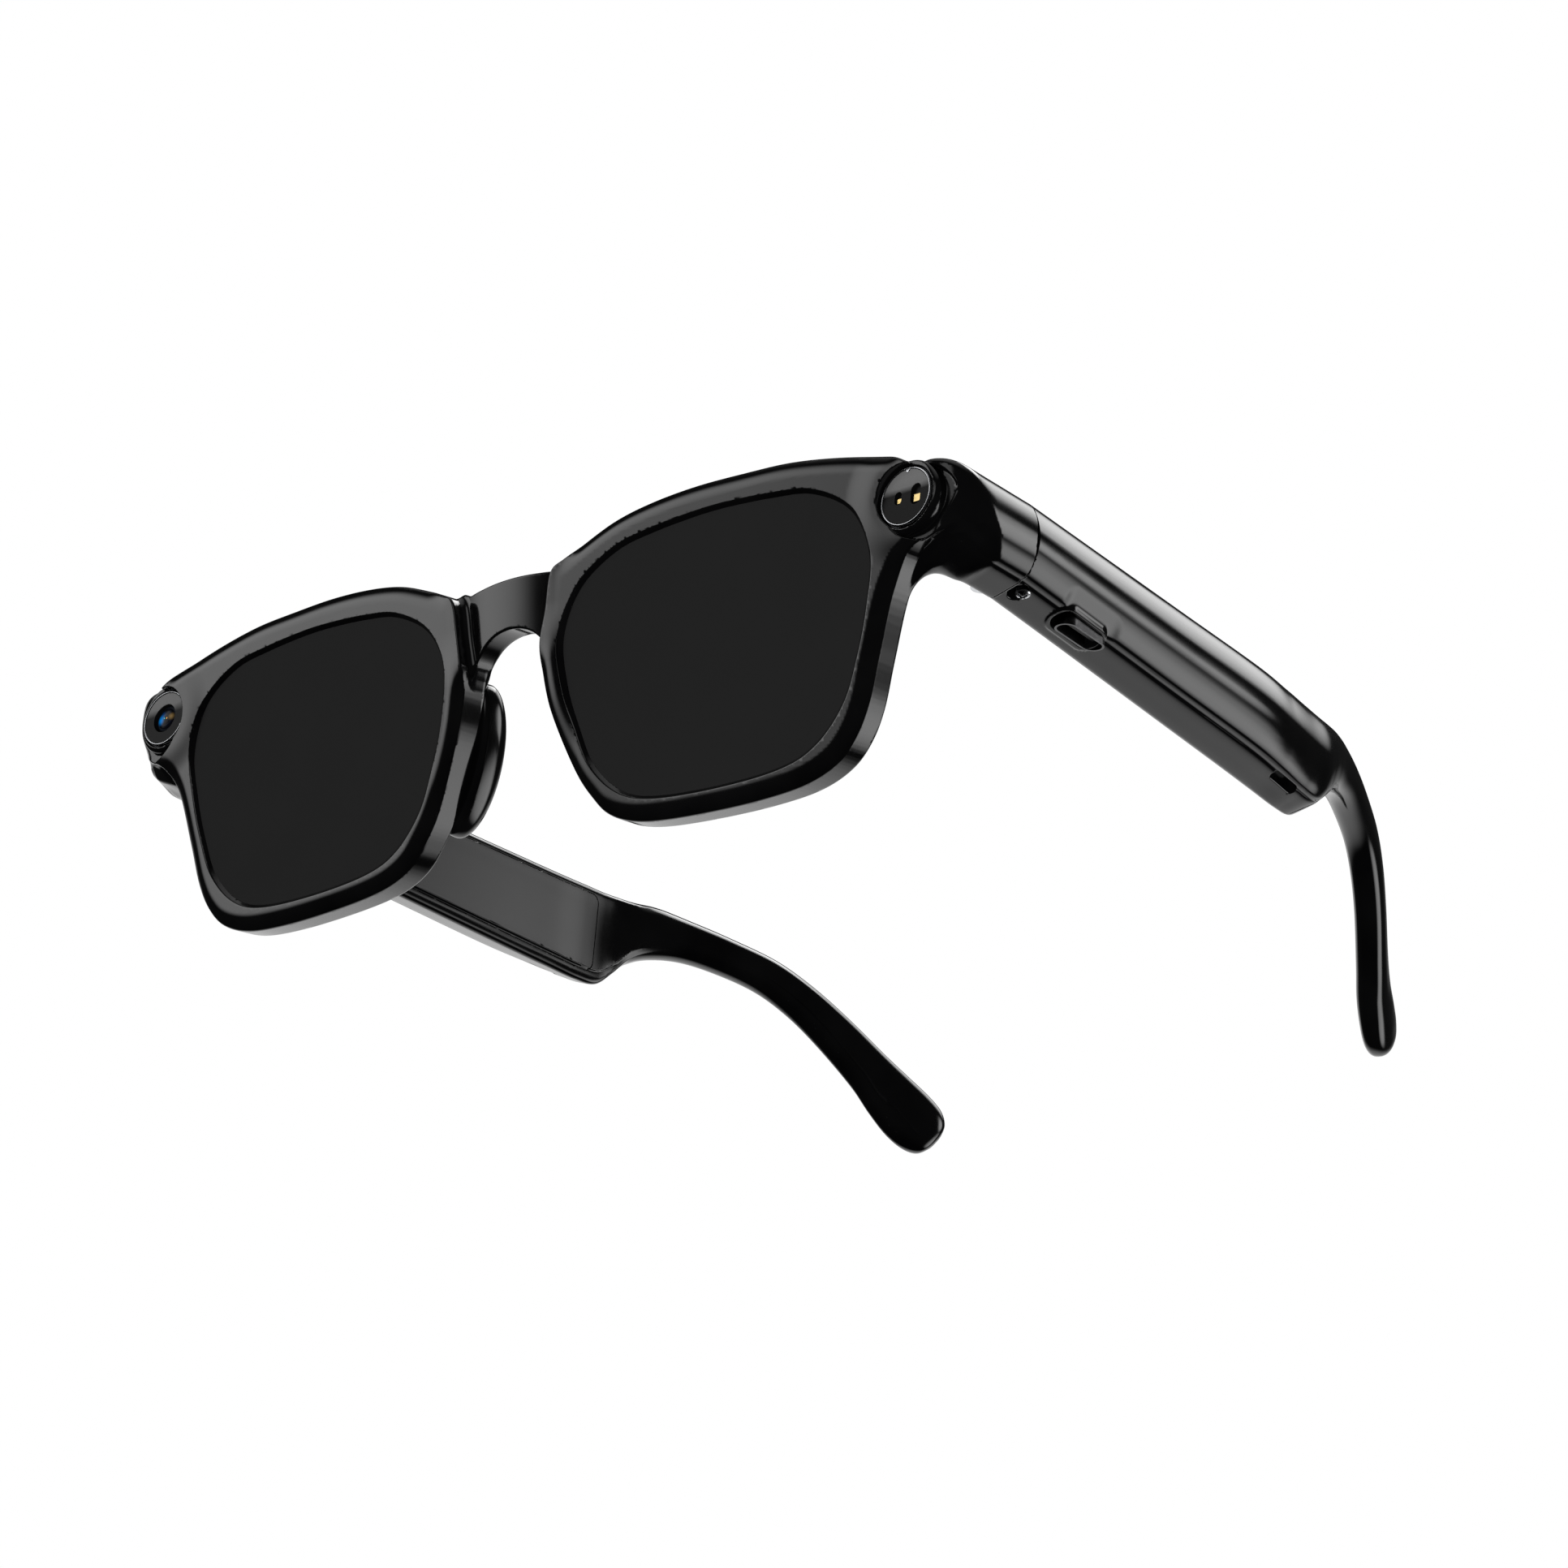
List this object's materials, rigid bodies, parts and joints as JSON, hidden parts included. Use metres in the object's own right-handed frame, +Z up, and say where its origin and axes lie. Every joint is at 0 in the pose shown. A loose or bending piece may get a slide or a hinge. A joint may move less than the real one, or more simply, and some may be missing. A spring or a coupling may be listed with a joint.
{
  "type": "smart glasses",
  "caption": "Smart glasses with dark lenses, a front camera, a sensor window and folding temples that hold batteries, speakers and a charging port.",
  "frame": {"origin": "on the surface that the glasses stand on, under the centre of their bounding box", "axes": "+X towards the wearer's left, -Y the way the wearer looks, +Z up; the rim bottoms and both temple tips stand on z = 0"},
  "size_m": [0.1518, 0.1442, 0.0447],
  "materials": {
    "gloss_black": "polished glossy black moulded plastic",
    "lens_tint": "dark tinted lens, nearly opaque, smooth",
    "steel": "bright machined steel",
    "bezel_steel": "thin bright polished ring",
    "disc_grey": "smooth neutral grey cover disc",
    "camera_glass": "coated dark blue camera glass with an amber glint",
    "inner_black": "matt black inner moulding",
    "led_gold": "small gold-coloured light-emitting chips",
    "board_green": "solder-masked circuit board",
    "flex_orange": "amber polyimide flexible circuit",
    "battery_foil": "silver laminate pouch",
    "mesh_black": "fine black acoustic mesh"
  },
  "bodies": {
    "front": {"front_frame": "gloss_black", "rear_brow_cover": "gloss_black", "front_flex_cable": "flex_orange", "lens_left": "lens_tint", "lens_right": "lens_tint", "nose_pad_left": "gloss_black", "nose_pad_right": "gloss_black", "camera_bezel": "bezel_steel", "camera_cover_disc": "disc_grey", "camera_lens": "camera_glass", "camera_barrel": "inner_black", "camera_sensor_board": "board_green", "sensor_bezel": "bezel_steel", "sensor_window_disc": "disc_grey", "sensor_leds": "led_gold", "sensor_board": "board_green", "hinge_front_left": "steel", "hinge_front_right": "steel", "hinge_pin_left": "steel", "hinge_pin_right": "steel", "front_leaf_screws": "steel"},
    "temple_left": {"temple_shell_left": "gloss_black", "temple_cover_left": "gloss_black", "hinge_temple_left": "steel", "temple_leaf_screws_left": "steel", "housing_screw_left": "steel", "battery_left": "battery_foil", "speaker_left": "inner_black", "speaker_mesh_left": "mesh_black", "tip_core_left": "steel", "main_board": "board_green", "touch_pad_film": "flex_orange", "usb_c_shell": "steel", "usb_c_tongue": "inner_black", "microphones": "steel"},
    "temple_right": {"temple_shell_right": "gloss_black", "temple_cover_right": "gloss_black", "hinge_temple_right": "steel", "temple_leaf_screws_right": "steel", "housing_screw_right": "steel", "battery_right": "battery_foil", "speaker_right": "inner_black", "speaker_mesh_right": "mesh_black", "tip_core_right": "steel", "aux_board": "board_green", "button_switch": "inner_black"},
    "button": {"capture_button": "gloss_black"}
  },
  "joints": [
    {"name": "left_temple_fold", "type": "hinge", "parent": "front", "child": "temple_left", "pos_m": [0.0664, -0.05314, 0.03274], "axis": [0, 0.0767, 0.9971], "range_deg": [0, 70]},
    {"name": "right_temple_fold", "type": "hinge", "parent": "front", "child": "temple_right", "pos_m": [-0.0664, -0.05314, 0.03274], "axis": [0, -0.0767, -0.9971], "range_deg": [0, 80]},
    {"name": "capture_button_press", "type": "slide", "parent": "temple_right", "child": "button", "axis": [0, -0.0767, -0.9971], "range_m": [0, 0.0003], "stiffness_N_per_m": 2000, "springref_m": -0.0002}
  ]
}
